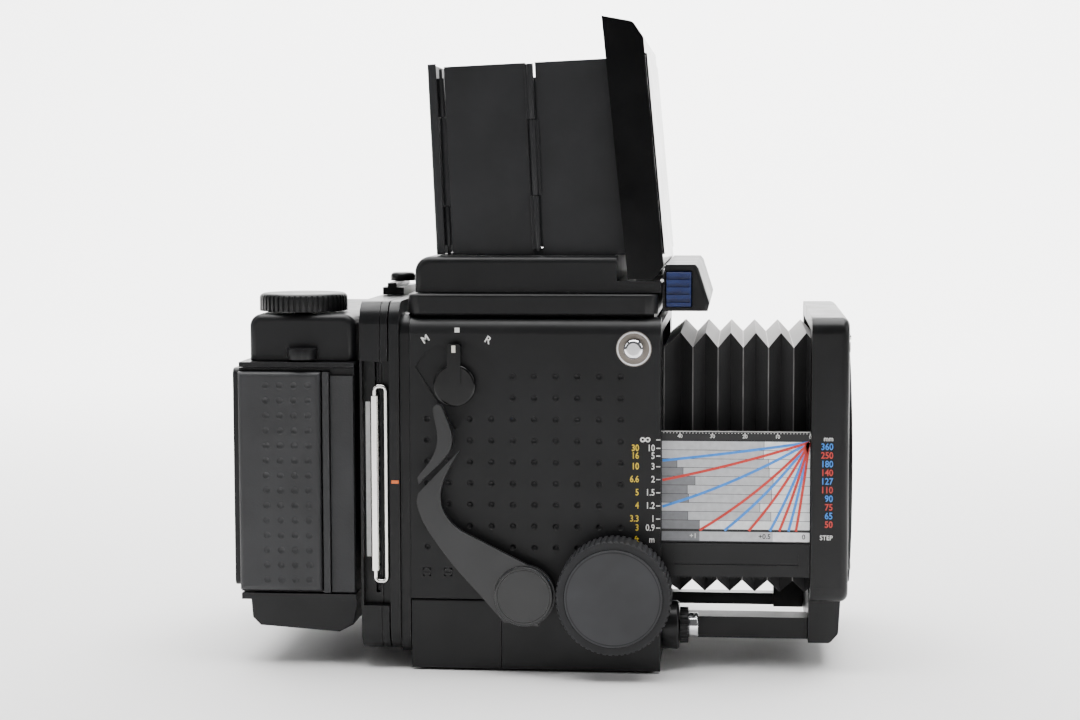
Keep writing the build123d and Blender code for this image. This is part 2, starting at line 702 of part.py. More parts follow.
def holder_door():
    part = front_plate(rounded((-46, 46), (24.7, 94.1), 2), (-96.4, -94.3))
    part += rod_z(1.3, -95.4, 47.6, (40, 78))
    part += box((-96.2, -94.6), (45.5, 47.6), (40, 78))
    return part - rod_z(0.85, -95.4, 47.6, (39, 79))


def door_hinge_pin():
    return rod_z(0.8, -95.4, 47.6, (36.5, 81.5))


def door_ears():
    """Ears on the case that carry the door's hinge pin."""
    ears = []
    for low in (36.5, 78.3):
        ear = rod_z(1.3, -95.4, 47.6, (low, low + 3.2))
        ear += box((-95.4, -93.9), (46.7, 48.8), (low, low + 3.2))
        ears.append(ear - rod_z(0.82, -95.4, 47.6, (low - 1, low + 5)))
    return ears


def memo_frame():
    part = front_plate(rounded((-30, 30), (36, 84), 2), (-97.4, -96.4))
    part -= box((-98, -96.8), (-27.5, 27.5), (38.5, 90))
    return part


def door_latch():
    tab = rod_z(4.65, -73.8, -47.0, (97.2, 100.6))
    return tab & box((-80, -68), (-53, -46.3), (97, 101))


# ---------------------------------------------------------------- folding hood
def finder_base():
    part = box((-38.0, 25.2), (-47, 47), (118.2, HOOD_BASE_Z))
    part = fillet(edges_along(part, Axis.Y, lambda c: c.Z > 129 and c.X < -30), 5)
    part = fillet(edges_along(part, Axis.Z, lambda c: c.X < -30), 2)
    part += box((25.2, 39.0), (-47, 47), (118.2, 121.8))
    part -= box((-29.0, 24.0), (-38.4, 38.4), (117, 131))
    part -= box((-34.5, 30.0), (-36.0, 36.0), (117, 120.5))
    for y in (-34.0, 30.0):
        part += box((30.4, 35.0), (y, y + 4.0), (121.7, 126.4))
    return part - rod_y(1.02, 33.4, (-40, 40), 124.4)


def leaned(part):
    """Lean an upright hood piece back, and trim its foot level with the finder base."""
    part = Pos(0, 0, HOOD_BASE_Z) * Rot(0, -HOOD_LEAN, 0) * Pos(0, 0, -HOOD_BASE_Z) * part
    if part.bounding_box().min.Z < HOOD_BASE_Z + 0.4:
        part -= box((-60, 60), (-60, 60), (100, HOOD_BASE_Z + 0.4))
    return part


def hood_lid():
    outer = make_face(Polyline((28.6, 122.2), (36.6, 122.2), (39.7, 126.6), (33.3, 196.6),
                               (30.0, 201.4), (20.4, 203.2), close=True))
    part = side_plate(outer, (-46.4, 46.4))
    inner = outline((20, 120), (34.6, 120), (37.7, 127.2), (31.6, 195.6), (28.6, 199.4),
                    (15, 202.0), (15, 120))
    part -= side_plate(inner, (-44.7, 44.7))
    part = fillet([e for e in part.edges().filter_by(Axis.Y) if e.center().Z > 200
                   and e.length > 92 and e.center().X > 25], 2.5)
    for low, high in ((134.0, 146.0), (174.0, 186.0)):
        for side in both_sides(lid_ear(low, high)):
            part += side
    for y in (-29.4, 19.4):
        part += rod_y(1.9, 33.4, (y, y + 10.0), 124.4)
        part += box((33.4, 38.2), (y, y + 10.0), (123.0, 126.0))
    part -= rod_y(1.0, 33.4, (-35, 35), 124.4)
    for y in (-24.0, 24.0):
        part += box((28.3, 33.2), (y - 1.5, y + 1.5), (188.4, 192.6))
    return part - rod_y(0.8, 29.9, (-28, 28), 190.2)


def lid_ear(low, high):
    x = MID_X + FOLD_HALF
    ear = box((x - 0.9, x + 1.1), (-45.0, EDGE_Y), (low, high))
    ear += rod_z(0.95, x, EDGE_Y, (low, high))
    return leaned(ear - rod_z(0.5, x, EDGE_Y, (low - 1, high + 1)))


def lid_hinge_pin():
    return rod_y(1.0, 33.4, (-34.4, 34.4), 124.4)


def lid_panel():
    """Smooth plate let into the front of the lid."""
    slope = (33.3 - 39.7) / (196.6 - 126.6)
    low = (39.7 + slope * 3.4, 130.0)
    high = (39.7 + slope * 65.4, 192.0)
    face = outline(low, high, (high[0] + 0.5, high[1]), (low[0] + 0.5, low[1]))
    return side_plate(face, (-42.5, 42.5))


def panel_half(start, end):
    """One upright half of a side panel, between two X values."""
    return box((start, end), (-41.8, -40.6), (126.0, 189.4))


MID_KNUCKLES = ((131.6, 148.0), (148.4, 171.6), (172.0, 189.0))
EDGE_KNUCKLES = ((146.4, 173.6),)


def knuckle(x, y, low, high, r, towards):
    """A hinge barrel on a fold line with a tab to its panel."""
    part = rod_z(r, x, y, (low, high))
    tab_x = (min(x, x + towards), max(x, x + towards))
    tab_y = (min(y, -41.2), max(y, -41.2))
    return part + box(tab_x, tab_y, (low, high))


def hood_front_half():
    part = panel_half(MID_X + 1.5, MID_X + FOLD_HALF - 1.3)
    part += knuckle(MID_X, MID_Y, *MID_KNUCKLES[1], 1.0, 1.8)
    for low, high in EDGE_KNUCKLES:
        part += knuckle(MID_X + FOLD_HALF, EDGE_Y, low, high, 0.9, -1.6)
    part -= rod_z(0.5, MID_X, MID_Y, (130, 190))
    return leaned(part - rod_z(0.55, MID_X + FOLD_HALF, EDGE_Y, (130, 190)))


def hood_rear_half():
    part = panel_half(MID_X - FOLD_HALF + 1.3, MID_X - 1.5)
    for low, high in (MID_KNUCKLES[0], MID_KNUCKLES[2]):
        part += knuckle(MID_X, MID_Y, low, high, 1.0, -1.8)
    for low, high in EDGE_KNUCKLES:
        part += knuckle(MID_X - FOLD_HALF, EDGE_Y, low, high, 0.9, 1.6)
    part -= rod_z(0.55, MID_X, MID_Y, (130, 190))
    return leaned(part - rod_z(0.55, MID_X - FOLD_HALF, EDGE_Y, (130, 190)))


def hood_rear_panel():
    part = box((-31.6, -30.2), (-42.4, 42.4), (126.0, 190.4))
    for side in both_sides(box((-31.6, -28.9), (-42.4, -42.1), (126.0, 190.4))):
        part += side
    upright = edges_along(part, Axis.Z, lambda c: c.X < -31.5)
    part = fillet(upright, 0.9)
    ears = []
    for low, high in ((134.0, 146.0), (174.0, 186.0)):
        x = MID_X - FOLD_HALF
        ear = box((-30.4, x), (EDGE_Y, EDGE_Y + 0.95), (low, high))
        ear += rod_z(0.95, x, EDGE_Y, (low, high))
        ears += both_sides(ear - rod_z(0.5, x, EDGE_Y, (low - 1, high + 1)))
    for ear in ears:
        part += ear
    return leaned(part)


def fold_pin(x, y):
    return leaned(rod_z(0.5, x, y, (131.0, 188.8)))


def magnifier_frame():
    part = leaned_lid_box((-2.9, 0.0), (-21.5, 21.5), (3.0, 50.0))
    part += leaned_lid_box((-2.9, 0.0), (-21.5, -19.0), (0, 4))
    part += leaned_lid_box((-2.9, 0.0), (19.0, 21.5), (0, 4))
    part += rod_y(1.6, 29.9, (-22.2, 22.2), 190.2)
    part -= leaned_lid_rod(16.1, 27.0)
    return part - rod_y(0.85, 29.9, (-28, 28), 190.2)


def on_lid(part):
    """Place a piece drawn hanging from the magnifier hinge along the lid's inner face."""
    return Pos(29.9, 0, 190.2) * Rot(0, -LID_LEAN, 0) * part


def leaned_lid_box(x, y, down):
    return on_lid(box((x[0] + 1.6, x[1] + 1.6), y, (-down[1], -down[0])))


def leaned_lid_rod(r, down):
    return on_lid(rod_x(r, (-4, 6), 0, -down))


def magnifier_lens():
    lens = rod_x(16.0, (-1.2, 1.5), 0, -27.0)
    return on_lid(lens)


def magnifier_pin():
    return rod_y(0.8, 29.9, (-25.5, 25.5), 190.2)


# ---------------------------------------------------------------- springs and fasteners
def lever_spring():
    """Flat return spring of the cocking lever, wound round its shaft under the cover."""
    return rod_y(4.2, LEVER_X, (-49.9, -48.9), LEVER_Z) - rod_y(2.5, LEVER_X, (-51, -48), LEVER_Z)


def cover_screws():
    """Countersunk screws in both side covers."""
    screws = []
    for x, z in ((-33.9, 31.0), (-27.2, 31.0)):
        head = rod_y(1.3, x, (-52.2, -51.0), z)
        screws.append(head - box((x - 0.9, x + 0.9), (-53, -51.8), (z - 0.15, z + 0.15)))
    return screws


def base_screws():
    screws = []
    for x in (-32.0, 32.0):
        for y in (-42.0, 42.0):
            head = rod_z(2.0, x, y, (0.3, 1.6))
            screws.append(head - box((x - 1.4, x + 1.4), (y - 0.25, y + 0.25), (0, 0.8)))
    return screws


def seated(part, fasteners):
    """Cut the seats of a set of fasteners into the part that they hold."""
    for one in fasteners:
        low, high = one.bounding_box().min, one.bounding_box().max
        part -= box((low.X, high.X), (low.Y, high.Y), (low.Z, high.Z))
    return part


# ---------------------------------------------------------------- every piece by name
def all_nodes():
    front_fold = (MID_X + FOLD_HALF, EDGE_Y)
    rear_fold = (MID_X - FOLD_HALF, EDGE_Y)
    return {
        # fixed to the camera body
        "mirror_box": mirror_box(),
        "end_frames": [front_frame(), rear_frame()],
        "right_side_cover": seated(right_side_cover(), cover_screws()),
        "right_lower_cover": right_lower_cover(),
        "left_side_cover": left_side_cover(),
        "base_plate": seated(base_plate(), base_screws()),
        "tripod_socket": tripod_socket(),
        "top_plate": [top_plate(), screen_frame()],
        "focusing_screen": focusing_screen(),
        "nose_housing": nose_housing(),
        "strap_lugs": both_sides(strap_lug()),
        "hot_shoe": hot_shoe(),
        "battery": [battery()] + battery_contacts(),
        "release_collar": release_collar(),
        "screws": base_screws() + cover_screws(),
        "fixed_back_frame": [fixed_back_frame(), back_index_mark()],
        "finder_base": finder_base(),
        "hood_lid": [hood_lid(), lid_hinge_pin(), magnifier_pin()] + both_sides(fold_pin(*front_fold)),
        "lid_panel": lid_panel(),
        # small controls
        "finder_release_button": finder_release_button(),
        "battery_door": [battery_door(), battery_hinge_pin()],
        "release_lock_ring": release_lock_ring(),
        "shutter_button": shutter_button(),
        "shutter_speed_dial": shutter_speed_dial(),
        "exposure_selector": exposure_selector(),
        "cocking_lever": [lever_arm(), lever_grip()],
        "lever_hub": [lever_cap(), lever_shaft(), lever_spring()],
        # reflex mirror
        "mirror_frame": [mirror_frame(), mirror_shaft()],
        "mirror_glass": mirror_glass(),
        "light_shield": [light_shield(), shield_shaft()],
        # front standard and its drive
        "front_standard": [lens_board(), standard_foot()],
        "lens_mount_ring": [lens_mount_ring()] + mount_pin(),
        "standard_rails": standard_arms() + slide_bars() + [bar_bracket()],
        "focus_racks": focus_racks(),
        "scale_plates": scale_plates(),
        "bellows": bellows(),
        "board_screws": board_screws(),
        "focus_shaft": [focus_shaft()] + focus_pinions(),
        "focus_knobs": focus_knobs() + knob_caps(),
        "knob_grips": knob_grips(),
        # revolving back and film holder
        "revolving_frame": revolving_frame(),
        "holder_frame": [holder_frame(), dark_slide_label()],
        "top_latch": [frame_latches()[0], latch_knob()],
        "bottom_latch": frame_latches()[1],
        "dark_slide": dark_slide(),
        "dark_slide_bail": dark_slide_bail(),
        "holder_case": [holder_case()] + holder_flanges() + door_ears() + [door_hinge_pin()],
        "film_insert": [pressure_plate()] + film_rollers() + roller_pins() + spool_pivots(),
        "grip_covers": grip_covers() + side_panels(),
        "holder_housings": [top_housing(), bottom_housing()],
        "advance_knob": [advance_knob(), advance_shaft(), take_up_spool()],
        "supply_spool": supply_spool(),
        "holder_door": [holder_door(), memo_frame()],
        "door_latch": door_latch(),
        # folding hood
        "hood_front_right": [hood_front_half(), fold_pin(MID_X, MID_Y)],
        "hood_rear_right": hood_rear_half(),
        "hood_front_left": [other_side(hood_front_half()), other_side(fold_pin(MID_X, MID_Y))],
        "hood_rear_left": other_side(hood_rear_half()),
        "hood_rear_panel": [hood_rear_panel()] + both_sides(fold_pin(*rear_fold)),
        "magnifier": [magnifier_frame(), magnifier_lens()],
    }


def main():
    os.makedirs("parts", exist_ok=True)
    for name, shape in all_nodes().items():
        if isinstance(shape, list):
            shape = Compound(children=list(shape))
        export_step(shape, f"parts/{name}.step")


main()
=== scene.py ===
import math

import bmesh
import bpy
from mathutils import Matrix, Vector


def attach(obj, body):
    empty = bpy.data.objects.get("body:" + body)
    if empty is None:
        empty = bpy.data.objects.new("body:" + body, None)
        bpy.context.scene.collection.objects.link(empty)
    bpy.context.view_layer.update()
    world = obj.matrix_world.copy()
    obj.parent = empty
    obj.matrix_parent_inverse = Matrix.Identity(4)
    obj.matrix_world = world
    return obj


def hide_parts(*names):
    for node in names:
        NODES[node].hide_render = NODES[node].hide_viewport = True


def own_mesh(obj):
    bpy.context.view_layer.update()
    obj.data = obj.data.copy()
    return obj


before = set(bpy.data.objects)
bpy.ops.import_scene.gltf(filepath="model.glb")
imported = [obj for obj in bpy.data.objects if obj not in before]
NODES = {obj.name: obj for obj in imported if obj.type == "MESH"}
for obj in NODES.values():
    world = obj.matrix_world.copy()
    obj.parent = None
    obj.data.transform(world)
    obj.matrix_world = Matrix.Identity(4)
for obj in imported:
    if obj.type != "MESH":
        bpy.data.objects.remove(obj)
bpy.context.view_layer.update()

# Looks of a medium-format bellows-focusing reflex camera body.  Helper functions take millimetres;
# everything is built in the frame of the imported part: +X lens side, +Z up, -Y the lever side.
MM = 0.001
RIGHT, LEFT = -1, 1                     # the lever side and the shoe side, as signs of Y

COVER_FACE = 52.0                       # outer face of the side covers
PLATE_FACE = 48.4                       # outer face of the sliding scale plates
BOARD_FACE = 50.0                       # side face of the front standard
INK = 0.05                              # how far a printed mark stands off its surface


# ---------------------------------------------------------------- materials
def shader_of(material):
    return material.node_tree.nodes["Principled BSDF"]


def finish(name, colour, roughness, metallic=0.0, specular=0.5, coat=0.0, sheen=0.0):
    """A plain shader; constants sit on its own sockets."""
    material = bpy.data.materials.new(name)
    material.use_nodes = True
    sockets = shader_of(material).inputs
    sockets["Base Color"].default_value = (*colour, 1.0)
    sockets["Roughness"].default_value = roughness
    sockets["Metallic"].default_value = metallic
    sockets["Specular IOR Level"].default_value = specular
    sockets["Coat Weight"].default_value = coat
    sockets["Coat Roughness"].default_value = 0.12
    sockets["Sheen Weight"].default_value = sheen
    material.diffuse_color = (*colour, 1.0)
    return material


def noise(material, scale, detail=3.0, stretch=(1, 1, 1)):
    """A noise texture in the object's own metres; scale is features per millimetre."""
    tree = material.node_tree
    place = tree.nodes.new("ShaderNodeTexCoord")
    mapping = tree.nodes.new("ShaderNodeMapping")
    mapping.inputs["Scale"].default_value = stretch
    texture = tree.nodes.new("ShaderNodeTexNoise")
    texture.inputs["Scale"].default_value = scale / MM
    texture.inputs["Detail"].default_value = detail
    tree.links.new(place.outputs["Object"], mapping.inputs["Vector"])
    tree.links.new(mapping.outputs["Vector"], texture.inputs["Vector"])
    return texture.outputs["Fac"]


def grain(material, scale, height, stretch=(1, 1, 1)):
    """Fine surface relief, height in millimetres."""
    tree = material.node_tree
    bump = tree.nodes.new("ShaderNodeBump")
    bump.inputs["Strength"].default_value = 1.0
    bump.inputs["Distance"].default_value = height * MM
    tree.links.new(noise(material, scale, stretch=stretch), bump.inputs["Height"])
    tree.links.new(bump.outputs["Normal"], shader_of(material).inputs["Normal"])
    return material


def varied(material, low, high, scale, socket="Roughness", stretch=(1, 1, 1)):
    """Roughness that drifts between two values over the surface."""
    tree = material.node_tree
    spread = tree.nodes.new("ShaderNodeMapRange")
    spread.inputs["From Min"].default_value = 0.3
    spread.inputs["From Max"].default_value = 0.7
    spread.inputs["To Min"].default_value = low
    spread.inputs["To Max"].default_value = high
    tree.links.new(noise(material, scale, stretch=stretch), spread.inputs["Value"])
    tree.links.new(spread.outputs["Result"], shader_of(material).inputs[socket])
    return material


def mottled(material, first, second, scale, stretch=(1, 1, 1)):
    """Base colour that drifts between two close colours."""
    tree = material.node_tree
    ramp = tree.nodes.new("ShaderNodeValToRGB")
    ramp.color_ramp.elements[0].position = 0.35
    ramp.color_ramp.elements[1].position = 0.68
    ramp.color_ramp.elements[0].color = (*first, 1.0)
    ramp.color_ramp.elements[1].color = (*second, 1.0)
    tree.links.new(noise(material, scale, stretch=stretch), ramp.inputs["Fac"])
    tree.links.new(ramp.outputs["Color"], shader_of(material).inputs["Base Color"])
    return material


def black(name, level, roughness, scale=2.0, relief=0.012, specular=0.26, coat=0.0):
    """A near-black paint or plastic with a little blue in it and a fine grain."""
    low = (level, level * 1.01, level * 1.08)
    high = (level * 1.35, level * 1.37, level * 1.5)
    material = finish(name, low, roughness, specular=specular, coat=coat)
    mottled(material, low, high, 0.05)
    varied(material, roughness - 0.04, roughness + 0.05, 0.09)
    return grain(material, scale, relief)


def brushed(name, colour, roughness, stretch):
    material = finish(name, colour, roughness, metallic=1.0)
    varied(material, roughness - 0.06, roughness + 0.1, 0.4, stretch=stretch)
    return grain(material, 0.8, 0.006, stretch)


COVER = black("moulded_black", 0.0065, 0.42, 3.0, 0.010)
BODY = black("satin_black", 0.0065, 0.38, 2.4, 0.008)
METAL = black("enamel_black", 0.0055, 0.33, 1.2, 0.006)
LEVER = black("lever_enamel", 0.010, 0.34, 1.6, 0.006, specular=0.5)
GLOSS = black("gloss_black", 0.003, 0.16, 0.5, 0.004, coat=0.12)
FLAT = black("flat_black", 0.005, 0.75, 3.0, 0.010, specular=0.2)
CASTING = black("dyed_casting", 0.018, 0.55, 1.2, 0.03)
SHELL = black("hood_panel_black", 0.013, 0.48, 2.0, 0.008)
KNOB_CAP = black("knob_face", 0.036, 0.50, 3.0, 0.006)
RUBBER = black("ribbed_rubber", 0.016, 0.62, 2.0, 0.015, specular=0.3)
GRIP = black("grained_grip", 0.019, 0.50, 1.6, 0.05, specular=0.4)
STEEL = brushed("brushed_steel", (0.62, 0.61, 0.60), 0.26, (0.1, 1, 1))
LUG_PAN = brushed("lug_pan_steel", (0.24, 0.215, 0.19), 0.34, (1, 1, 1))
BRIGHT = brushed("polished_bright", (0.86, 0.85, 0.82), 0.12, (1, 1, 0.2))
CHROME = varied(finish("chrome_plate", (0.88, 0.88, 0.90), 0.09, metallic=1.0), 0.05, 0.14, 0.3)
MIRROR = varied(finish("front_silvering", (0.92, 0.93, 0.94), 0.02, metallic=1.0), 0.01, 0.04, 0.05)
SCREEN = grain(finish("ground_screen", (0.80, 0.84, 0.84), 0.45), 4.0, 0.02)
BLUE = grain(mottled(finish("button_blue", (0.006, 0.016, 0.085), 0.3), (0.005, 0.013, 0.075),
                     (0.009, 0.023, 0.11), 0.3), 2.0, 0.008)
CELL = mottled(finish("battery_can", (0.4, 0.4, 0.42), 0.3, metallic=0.7), (0.35, 0.35, 0.37),
               (0.5, 0.5, 0.5), 0.2)


def ink(name, colour, roughness=0.45):
    """A printed or filled-in paint, very slightly uneven."""
    dim = tuple(c * 0.86 for c in colour)
    return mottled(finish(name, colour, roughness), dim, colour, 0.6)


WHITE = ink("ink_white", (0.80, 0.80, 0.78))
CREAM = ink("ink_cream", (0.78, 0.75, 0.66))
YELLOW = ink("ink_yellow", (0.84, 0.60, 0.03))
CYAN = ink("ink_blue", (0.03, 0.27, 0.86))
RED = ink("ink_red", (0.66, 0.040, 0.030))
ORANGE = ink("ink_orange", (0.85, 0.17, 0.03))
DARK = ink("ink_dark", (0.008, 0.008, 0.009))
PALE = ink("chart_white", (0.90, 0.91, 0.92))
LIGHT = ink("chart_light_grey", (0.55, 0.56, 0.58))
MIDDLE = ink("chart_grey", (0.21, 0.215, 0.23))
PAPER = ink("label_white", (0.90, 0.90, 0.89), 0.6)


def lens_glass():
    material = finish("clear_glass", (0.95, 0.97, 0.97), 0.03)
    shader_of(material).inputs["Transmission Weight"].default_value = 1.0
    shader_of(material).inputs["IOR"].default_value = 1.5
    return grain(material, 0.02, 0.001)


def bellows_cloth():
    """Black cloth with a painted highlight on what faces up and pale wear along the outward folds."""
    material = finish("pleated_cloth", (0.010, 0.009, 0.011), 0.62, specular=0.35, sheen=0.15)
    tree = material.node_tree
    fold = tree.nodes.new("ShaderNodeAttribute")
    fold.attribute_name = "fold"
    wear = tree.nodes.new("ShaderNodeMapRange")
    wear.inputs["From Min"].default_value = 0.93
    wear.inputs["From Max"].default_value = 1.0
    wear.inputs["To Max"].default_value = 0.6
    tree.links.new(fold.outputs["Fac"], wear.inputs["Value"])
    patchy = tree.nodes.new("ShaderNodeMath")
    patchy.operation = "MULTIPLY"
    tree.links.new(wear.outputs["Result"], patchy.inputs[0])
    tree.links.new(noise(material, 0.25, stretch=(1, 1, 0.4)), patchy.inputs[1])
    # painted highlight: faces that point up are made paler, standing in for the top light they catch
    normal = tree.nodes.new("ShaderNodeNewGeometry")
    split = tree.nodes.new("ShaderNodeSeparateXYZ")
    tree.links.new(normal.outputs["Normal"], split.inputs["Vector"])
    painted_top_highlight = tree.nodes.new("ShaderNodeMapRange")
    painted_top_highlight.inputs["From Min"].default_value = 0.25
    painted_top_highlight.inputs["From Max"].default_value = 0.85
    painted_top_highlight.inputs["To Max"].default_value = 0.62
    tree.links.new(split.outputs["Z"], painted_top_highlight.inputs["Value"])
    total = tree.nodes.new("ShaderNodeMath")
    total.operation = "ADD"
    total.use_clamp = True
    tree.links.new(patchy.outputs["Value"], total.inputs[0])
    tree.links.new(painted_top_highlight.outputs["Result"], total.inputs[1])
    mix = tree.nodes.new("ShaderNodeMix")
    mix.data_type = "RGBA"
    mix.inputs["A"].default_value = (0.005, 0.0048, 0.0055, 1.0)
    mix.inputs["B"].default_value = (0.62, 0.60, 0.59, 1.0)
    tree.links.new(total.outputs["Value"], mix.inputs["Factor"])
    tree.links.new(mix.outputs["Result"], shader_of(material).inputs["Base Color"])
    return grain(material, 1.8, 0.05)


CLOTH = bellows_cloth()
GLASS = lens_glass()


# ---------------------------------------------------------------- CAD nodes
def dress(names, material, edge=0.25):
    """Give CAD nodes a finish and a fine rounding on their edges."""
    for name in names.split():
        node = NODES[name]
        node.data.materials.clear()
        node.data.materials.append(material)
        soften(node, edge)


def soften(obj, edge):
    if edge <= 0:
        return
    weld = obj.modifiers.new("weld", "WELD")
    weld.merge_threshold = 0.002 * MM
    bevel = obj.modifiers.new("edge", "BEVEL")
    bevel.width = edge * MM
    bevel.segments = 2
    bevel.limit_method = "ANGLE"
    bevel.angle_limit = math.radians(32)
    bevel.use_clamp_overlap = True
    bevel.harden_normals = False


def repaint(name, material, inside):
    """Give part of a CAD node another finish, where inside(face centre in mm) is true."""
    mesh = NODES[name].data
    mesh.materials.append(material)
    index = len(mesh.materials) - 1
    for face in mesh.polygons:
        if inside(face.center / MM):
            face.material_index = index


dress("mirror_box", CASTING, 0)
dress("right_lower_cover left_side_cover", COVER)
dress("end_frames base_plate fixed_back_frame revolving_frame holder_frame top_latch bottom_latch", METAL)
dress("front_standard standard_rails", METAL, 0.15)
dress("focus_racks", METAL, 0)
dress("top_plate finder_base nose_housing battery_door", BODY, 0.3)
dress("holder_case holder_housings holder_door door_latch supply_spool", BODY, 0.3)
dress("hood_lid", GLOSS, 0.25)
dress("lid_panel", GLOSS, 0.15)
dress("hood_front_right hood_rear_right hood_front_left hood_rear_left hood_rear_panel", SHELL, 0.15)
dress("exposure_selector", GLOSS, 0.15)
dress("cocking_lever", LEVER, 0.5)
dress("lever_hub", LEVER, 0.2)
dress("release_collar release_lock_ring", METAL, 0.1)
dress("shutter_speed_dial", METAL, 0.15)
dress("advance_knob", BODY, 0.12)
dress("focus_knobs", RUBBER, 0.15)
dress("knob_grips", RUBBER, 0.12)
dress("mirror_frame light_shield", FLAT, 0)
dress("film_insert", FLAT, 0)
dress("magnifier", GLOSS, 0.2)
dress("mirror_glass", MIRROR, 0)
dress("focusing_screen", SCREEN, 0)
dress("tripod_socket hot_shoe lens_mount_ring", STEEL, 0.12)
dress("focus_shaft", STEEL, 0)
dress("shutter_button strap_lugs", CHROME, 0.1)
dress("screws board_screws", METAL, 0.06)
dress("dark_slide", STEEL, 0)
dress("dark_slide_bail", BRIGHT, 0)
dress("battery", CELL, 0.1)
dress("scale_plates", DARK, 0.08)
dress("finder_release_button", BLUE, 0.2)

repaint("focus_knobs", KNOB_CAP, lambda c: abs(c.y) > 65.41)
repaint("fixed_back_frame", ORANGE, lambda c: c.y < -52.01)
repaint("holder_frame", PAPER, lambda c: c.y < -48.41 and 34 < c.z < 85 and -53.6 < c.x < -51.6)
repaint("mirror_glass", FLAT, lambda c: (c.x + 34) + (c.z - 95.5) < 0.2)
repaint("strap_lugs", LUG_PAN,
        lambda c: 2.5 < math.hypot(c.x - 30.8, c.z - 101.3) < 4.9 and abs(c.y) < 53.4)
repaint("magnifier", GLASS, lambda c: abs(c.y) < 16.2 and (c.y ** 2 + (c.z - 163.3) ** 2) < 16.3 ** 2)
repaint("dark_slide", BRIGHT, lambda c: c.y < -48.5)
repaint("dark_slide", METAL, lambda c: c.y < -46.4 and (c.z > 87.0 or c.z < 30.0))


# ---------------------------------------------------------------- mesh helpers
def new_object(name, mesh, material, body):
    obj = bpy.data.objects.new(name, mesh)
    bpy.context.scene.collection.objects.link(obj)
    if material is not None:
        mesh.materials.clear()
        mesh.materials.append(material)
    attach(obj, body)
    return obj


def shell(name, points, faces, material, body):
    """A mesh from points in millimetres."""
    mesh = bpy.data.meshes.new(name)
    mesh.from_pydata([Vector(p) * MM for p in points], [], faces)
    return new_object(name, mesh, material, body)


def tiles(name, outlines, face, side, material, body, lift=INK):
    """Thin printed areas: outlines of (x, z) corners on a side face, as one piece."""
    points, faces = [], []
    for outline in outlines:
        start = len(points)
        for depth in (face - 0.02, face + lift):
            points += [(x, side * depth, z) for x, z in outline]
        n = len(outline)
        faces.append([start + n + i for i in range(n)])
        faces.append([start + i for i in reversed(range(n))])
        faces += [[start + i, start + (i + 1) % n, start + n + (i + 1) % n, start + n + i]
                  for i in range(n)]
    obj = shell(name, points, faces, material, body)
    tidy_normals(obj.data)
    return obj


def tidy_normals(mesh):
    work = bmesh.new()
    work.from_mesh(mesh)
    bmesh.ops.recalc_face_normals(work, faces=work.faces)
    work.to_mesh(mesh)
    work.free()


def rectangle(x, z):
    return [(x[0], z[0]), (x[1], z[0]), (x[1], z[1]), (x[0], z[1])]


def disc(x, z, r, n=16):
    return [(x + r * math.cos(2 * math.pi * i / n), z + r * math.sin(2 * math.pi * i / n))
            for i in range(n)]


def ribbon(path, width):
    """A band of even width along a path of (x, z) points."""
    left, right = [], []
    for i, (x, z) in enumerate(path):
        ahead = path[min(i + 1, len(path) - 1)]
        behind = path[max(i - 1, 0)]
        along = Vector((ahead[0] - behind[0], ahead[1] - behind[1])).normalized()
        left.append((x - along.y * width / 2, z + along.x * width / 2))
        right.append((x + along.y * width / 2, z - along.x * width / 2))
    return left + right[::-1]


def lettering(name, marks, face, side, material, body):
    """Numerals and signs on a side face. A mark is (text, x, z, height, anchor, turn, squeeze)."""
    work = bmesh.new()
    for text, x, z, height, anchor, turn, squeeze in marks:
        curve = bpy.data.curves.new(name + "_text", "FONT")
        curve.body = text
        curve.size = height / 0.70 * MM
        curve.align_x = anchor
        curve.align_y = "CENTER"
        curve.offset = 0.018 * height * MM
        curve.extrude = INK / 2 * MM
        curve.resolution_u = 3
        writer = bpy.data.objects.new(name + "_text", curve)
        mesh = bpy.data.meshes.new_from_object(writer)
        bpy.data.objects.remove(writer)
        upright = Matrix.Rotation(math.radians(90), 4, "X")
        if side == LEFT:
            upright = Matrix.Rotation(math.pi, 4, "Z") @ upright
        place = Matrix.Translation(Vector((x, side * (face + INK / 2), z)) * MM)
        tilt = Matrix.Rotation(math.radians(turn) * -side, 4, "Y")
        mesh.transform(place @ tilt @ upright @ Matrix.Diagonal((squeeze, 1, 1, 1)))
        work.from_mesh(mesh)
        bpy.data.meshes.remove(mesh)
    result = bpy.data.meshes.new(name)
    work.to_mesh(result)
    work.free()
    return new_object(name, result, material, body)


def dimpled(node, centres, face_y, radius, depth, body, material, edge):
    """A copy of a CAD piece with round hollows cut in its outer face, standing for that node."""
    ball = (radius ** 2 + depth ** 2) / (2 * depth)
    cutter = bmesh.new()
    side = -1 if face_y < 0 else 1
    for x, z in centres:
        spot = Vector((x, face_y + side * (ball - depth), z)) * MM
        bmesh.ops.create_uvsphere(cutter, u_segments=20, v_segments=14, radius=ball * MM,
                                  matrix=Matrix.Translation(spot) @ Matrix.Rotation(math.pi / 2, 4, "X"))
    cut_copy(node, cutter, body, material, edge)


